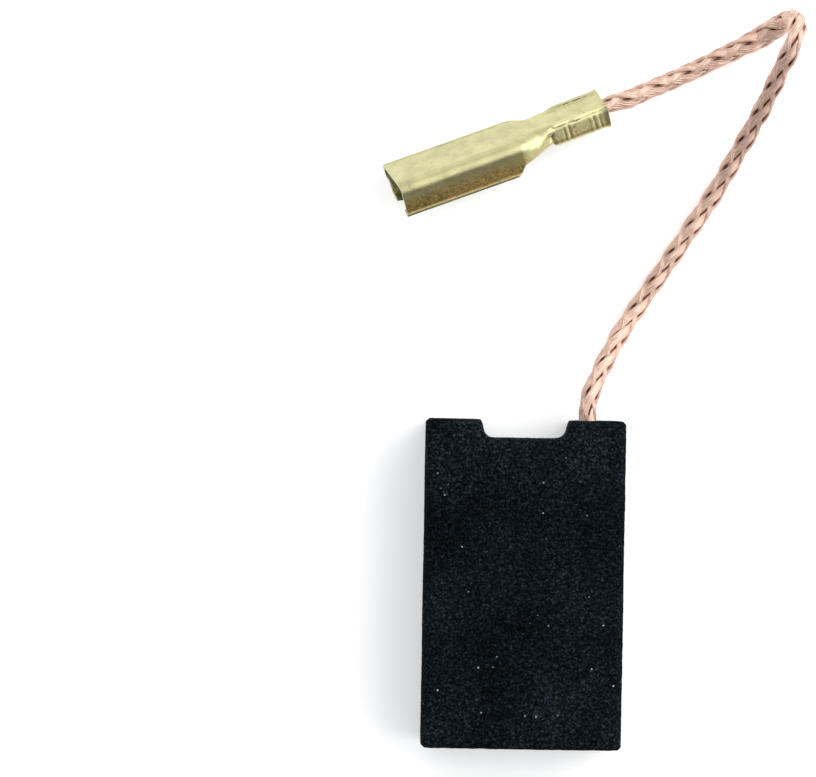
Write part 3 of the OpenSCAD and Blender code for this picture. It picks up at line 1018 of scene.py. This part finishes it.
def crimp_details(t, x, y, z):
    """On the crimp: a narrow ridge where its near fold was pinched, slots and a bulge along its far
    fold, soft dents in its strip, ribs across the near wing and a hollow where that wing begins.
    The distance past a fold is counted from the end of the strip's flat."""
    along = x - (t.socket_length + t.neck_length) / MM
    r = t.crimp_radius / MM
    half_flat = t.crimp_width / MM / 2 - r
    yy = y - crimp_shift(t, x)
    turn = np.arctan2(z + r, np.abs(yy) - half_flat)
    past = np.where(np.abs(yy) < half_flat, np.abs(yy) - half_flat, 0.25 * (np.pi / 2 - turn))
    past = np.where(z + r < 0, 0.39 - (z + r), past)
    near, far = yy < 0, yy > 0

    edge = past - 0.05 - 0.045 * noise_along(x, 0.5, 21)
    ridge = near * (0.04 * bump_at(edge, 0.0, 0.06) - 0.07 * smooth((edge - 0.05) / 0.07))
    ridge = ridge + near * 0.11 * np.clip((-z - 0.35) / 0.9, 0.0, 1.0)

    slot = np.maximum.reduce([
        smooth((along - 0.8) / 0.8) * smooth((3.0 - along) / 0.2),
        bump_at(along, 3.2, 0.1), bump_at(along, 3.45, 0.08),
    ])
    groove = far * (-0.2 * slot * bump_at(past, 0.04, 0.07) + 0.04 * bump_at(past, -0.09, 0.05))
    bulge = far * 0.17 * smooth((past - 0.08) / 0.12) * smooth((along - 0.1) / 0.9)
    bulge = bulge * smooth((4.0 - along) / 0.5) * smooth((1.1 - past) / 0.5)

    dents = -0.06 * bump_at(along, 0.75, 0.3) * bump_at(yy, 0.25, 0.5)
    dents = dents - 0.05 * bump_at(along, 1.5, 0.35) * bump_at(yy, -0.1, 0.5)
    dents = dents - 0.06 * bump_at(along, 2.75, 0.45) * bump_at(yy, 0.15, 0.45)
    dents = dents + 0.03 * bump_at(along, 0.95 + 0.2 * yy, 0.07)
    dents = dents * smooth((half_flat - np.abs(yy)) / 0.25) * (z > -r)

    ribs = RIB_HEIGHT * sum(height * bump_at(along, place, width) for place, width, height in WING_RIBS)
    ribs = ribs * near * smooth((past - 0.25) / 0.2)
    pinch = -0.12 * bump_at(along, -0.1, 0.2) * near * smooth((-z - 0.35) / 0.3) * smooth((1.3 + z) / 0.7)
    return smooth((along + 0.1) / 0.4) * (ridge + groove + bulge + dents + ribs) + pinch


def numbered(start, *grids):
    """Numbers of the points of some grids that follow one another."""
    numbers = []
    for grid in grids:
        rows, columns = grid.shape[:2]
        numbers.append(start + np.arange(rows * columns).reshape(rows, columns))
        start += rows * columns
    return numbers


def curl_grid(t, start):
    """The curl from the wall's lower end to the lip. Its cut end leans back from the start of the
    neck, more the lower it is."""
    curl = curl_rest(t)
    drop = (-t.neck_wall / MM - curl[:, 1]) / ((t.socket_height - t.neck_wall) / MM)
    reach = start - t.curl_slant / MM * np.clip(drop, 0.0, 1.0)
    share = np.linspace(0.0, 1.0, SOCKET_ROWS + 1)
    shape = np.broadcast_to(curl, (len(share), *curl.shape))
    return np.concatenate([(share[:, None] * reach)[:, :, None], shape], -1)


def wing_grid(t, xs, spine):
    """The wing from the crimp's wall to the seam. It hangs on the wall's lower edge, and begins a
    little further along at its tip than at that edge."""
    wing = wing_rest(t)
    corner = np.array([(t.crimp_width - t.sheet) / MM / 2, -(t.crimp_height - t.crimp_radius) / MM])
    late = 0.3 * smooth(np.arange(1, len(wing) + 1) / 9.0)
    share = (xs[-1] - xs) / (xs[-1] - xs[0])
    wx = xs[:, None] + late * share[:, None] ** 3
    edge = [np.interp(wx, xs, spine[:, -1, i]) for i in (1, 2)]
    return np.stack([wx, edge[0] + wing[:, 0] - corner[0], edge[1] + wing[:, 1] - corner[1]], -1)


def terminal_mesh(t):
    """The sheet's middle surface: base and side walls over the whole length, a curl at each side of
    the receptacle, and a wing at each side of the crimp."""
    start = (t.socket_length + t.curl_slant) / MM
    end = (t.socket_length + t.neck_length) / MM
    tail = end + t.crimp_length / MM
    xs = np.concatenate([
        np.linspace(0.0, start, SOCKET_ROWS + 1),
        np.linspace(start, end, NECK_ROWS + 1)[1:],
        np.linspace(end, tail, CRIMP_ROWS + 1)[1:],
    ])
    crimp_row = SOCKET_ROWS + NECK_ROWS
    spine = terminal_sections(t, xs)
    curls = curl_grid(t, start)
    wings = wing_grid(t, xs[crimp_row:], spine[crimp_row:])
    width = spine.shape[1]
    grids = ((0, spine), (width, curls), (width, wings))
    local = np.concatenate([grid.reshape(-1, 3) for _, grid in grids])
    column = np.concatenate([np.tile(first + np.arange(grid.shape[1]), len(grid)) for first, grid in grids])
    points, quads, uvs = [], [], []
    for side, hand in enumerate((1.0, -1.0)):
        number, curl_number, wing_number = numbered(side * len(local), spine, curls, wings)
        curl_number = np.concatenate([number[: SOCKET_ROWS + 1, -1:], curl_number], axis=1)
        wing_number = np.concatenate([number[crimp_row:, -1:], wing_number], axis=1)
        for patch in (number, curl_number, wing_number):
            quad = np.stack([patch[:-1, :-1], patch[1:, :-1], patch[1:, 1:], patch[:-1, 1:]], -1)
            quad = quad.reshape(-1, 4)
            quads.append(quad if hand > 0 else quad[:, ::-1])
        points.append(local * (1.0, hand, 1.0))
        uvs.append(np.stack([local[:, 0] * MM_U, hand * column * COLUMN_V + 0.5], -1))
    return np.concatenate(points), np.concatenate(quads), np.concatenate(uvs)


def skewed_mouth(t, points):
    """The mouth is cut a little out of square, its lips stand back in it, and its far wall leans in
    lower down: points near it move, less with the square of the distance from the mouth."""
    side = t.socket_width / MM
    run = 1.6
    lip_run = 2.6
    x, y, z = points.T
    share = np.maximum(1.0 - x / run, 0.0) ** 2
    lip_share = np.maximum(1.0 - x / lip_run, 0.0) ** 2
    skew = 0.21 * np.clip(y / side + 0.5, 0.0, 1.0)
    below = smooth((-z - 0.9) / 0.5)
    lip = smooth((1.15 - np.abs(y)) / 0.4)
    lean = 0.36 * np.clip((-z - 0.85) / 0.95, 0.0, 1.0) ** 1.3 * (y > 0.2) * smooth((1.5 - x) / 1.2)
    points[:, 0] += (0.1 * below * (y > 0.2) - skew) * share + 0.85 * below * lip * lip_share
    points[:, 1] -= lean
    return points


def bell_mouth(t, points):
    """The crimp's end opens like a bell: points move away from its middle with the square of the
    distance into the bell."""
    end = (t.socket_length + t.neck_length + t.crimp_length) / MM
    run = 0.6
    grow = t.bell / MM * np.maximum((points[:, 0] - end + run) / run, 0.0) ** 2
    middle = np.array([0.0, -t.crimp_height / MM / 2])
    away = points[:, 1:] - middle
    size = np.maximum(np.abs(away).max(-1), 0.3)
    points[:, 1:] += away / size[:, None] * grow[:, None]
    tip = grow / (t.bell / MM) * bump_at(away[:, 0], t.crimp_width / MM / 2, 0.4)
    tip = tip * smooth((away[:, 1] - 0.2) / 0.4)
    points[:, 1:] += tip[:, None] * (0.12, 0.16)
    return points


class CARBONBRUSH_OT_terminal(bpy.types.Operator):
    """Builds the folded and crimped brass terminal"""

    bl_idname = "carbonbrush.terminal"
    bl_label = "Brass Terminal"

    def execute(self, context):
        t = context.scene.carbon_brush_terminal
        points, quads, uv = terminal_mesh(t)
        points = skewed_mouth(t, bell_mouth(t, points))
        points[:, 1] += crimp_shift(t, points[:, 0])
        terminal = put_mesh("folded_brass_terminal", on_terminal(points), quads, uv)
        normals = np.empty(len(points) * 3)
        terminal.data.vertex_normals.foreach_get("vector", normals)
        move = pressed_details(t, points)
        placed = on_terminal(points) + normals.reshape(-1, 3) * move[:, None]
        terminal.data.vertices.foreach_set("co", (placed * MM).ravel())
        merge_doubles(terminal, 1e-6)
        solid = terminal.modifiers.new("Sheet", "SOLIDIFY")
        solid.thickness = t.sheet
        solid.offset = 0.0
        solid.use_even_offset = True
        bevel = terminal.modifiers.new("Cut edges", "BEVEL")
        bevel.width = t.cut_edge
        bevel.segments = 2
        bevel.angle_limit = math.radians(50)
        terminal.data.materials.append(brass_finish(t))
        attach(terminal, "root")
        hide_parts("terminal")
        return {"FINISHED"}


def merge_doubles(obj, distance):
    """Welds points that lie together, as along the base's middle."""
    mesh = bmesh.new()
    mesh.from_mesh(obj.data)
    bmesh.ops.remove_doubles(mesh, verts=mesh.verts, dist=distance)
    mesh.to_mesh(obj.data)
    mesh.free()
    obj.data.polygons.foreach_set("use_smooth", np.ones(len(obj.data.polygons), bool))


# ---- stage ----------------------------------------------------------------


def area_light(name, place, aim, size, power):
    """A square soft light that looks from its place to its aim."""
    data = bpy.data.lights.new(name, "AREA")
    data.shape = "SQUARE"
    data.size = size
    data.energy = power
    light = bpy.data.objects.new(name, data)
    light.location = place
    light.rotation_euler = (Vector(aim) - Vector(place)).to_track_quat("-Z", "Y").to_euler()
    bpy.context.scene.collection.objects.link(light)
    return light


def surroundings(s):
    """A pale room, brightest at the back and on the right and dark in front above the table: a ramp
    over the direction's Y times a straight line over its X."""
    world = bpy.data.worlds.new("surroundings")
    room = Nodes(world, "Background")
    direction = room.add("ShaderNodeTexCoord", {}, {}, "Generated")
    stops = [(y, (0.97 * level, 0.985 * level, level)) for y, level in SKY_LEVELS]
    across = room.part(direction, 1) * 0.5 + 0.5
    room.set(
        Color=room.add("ShaderNodeValToRGB", {"stops": stops}, {"Fac": across}),
        Strength=(room.part(direction, 0) * SKY_FROM_RIGHT + 1.0) * s.sky,
    )
    return world


class CARBONBRUSH_OT_stage(bpy.types.Operator):
    """Sets the pale floor, the soft light, the surroundings and the camera"""

    bl_idname = "carbonbrush.stage"
    bl_label = "Stage"

    def execute(self, context):
        s = context.scene.carbon_brush_stage
        half = s.floor_size / MM / 2
        low = -s.floor_gap / MM
        corners = [(-half, -half, low), (half, -half, low), (half, half, low), (-half, half, low)]
        floor = put_mesh("floor", corners, [(0, 1, 2, 3)])
        floor.data.materials.append(floor_finish(s))
        area_light("key_light", KEY_AT, KEY_AIM, s.key_size, s.key_power)
        context.scene.world = surroundings(s)
        context.scene.view_settings.view_transform = "Standard"
        data = bpy.data.cameras.new("camera")
        data.lens = s.lens
        data.clip_start = 0.01
        camera = bpy.data.objects.new("camera", data)
        camera.location = (s.camera_x, s.camera_y, s.camera_height)
        camera.rotation_euler = (0.0, 0.0, s.camera_roll)
        context.scene.collection.objects.link(camera)
        context.scene.camera = camera
        return {"FINISHED"}


# ---- panel and run --------------------------------------------------------

OPERATORS = (
    CARBONBRUSH_OT_stage,
    CARBONBRUSH_OT_terminal,
    CARBONBRUSH_OT_lead,
    CARBONBRUSH_OT_block,
    CARBONBRUSH_OT_plug,
)


class CARBONBRUSH_PT_panel(bpy.types.Panel):
    """Lists the pieces in the sidebar, in the order in which they are built"""

    bl_idname = "CARBONBRUSH_PT_panel"
    bl_label = "Carbon Brush"
    bl_space_type = "VIEW_3D"
    bl_region_type = "UI"
    bl_category = "Carbon Brush"

    def draw(self, context):
        for operator in OPERATORS:
            self.layout.operator(operator.bl_idname)
        for name in SETTINGS:
            group = getattr(context.scene, name)
            box = self.layout.box()
            for key in group.__annotations__:
                box.prop(group, key)


CLASSES = (*SETTINGS.values(), *OPERATORS, CARBONBRUSH_PT_panel)


def register():
    for cls in CLASSES:
        bpy.utils.register_class(cls)
    for name, group in SETTINGS.items():
        setattr(bpy.types.Scene, name, PointerProperty(type=group))


def unregister():
    for name in SETTINGS:
        delattr(bpy.types.Scene, name)
    for cls in reversed(CLASSES):
        bpy.utils.unregister_class(cls)


def main():
    register()
    bpy.ops.carbonbrush.stage()
    bpy.ops.carbonbrush.terminal()
    bpy.ops.carbonbrush.lead()
    bpy.ops.carbonbrush.block()
    bpy.ops.carbonbrush.plug()


if __name__ == "__main__":
    main()
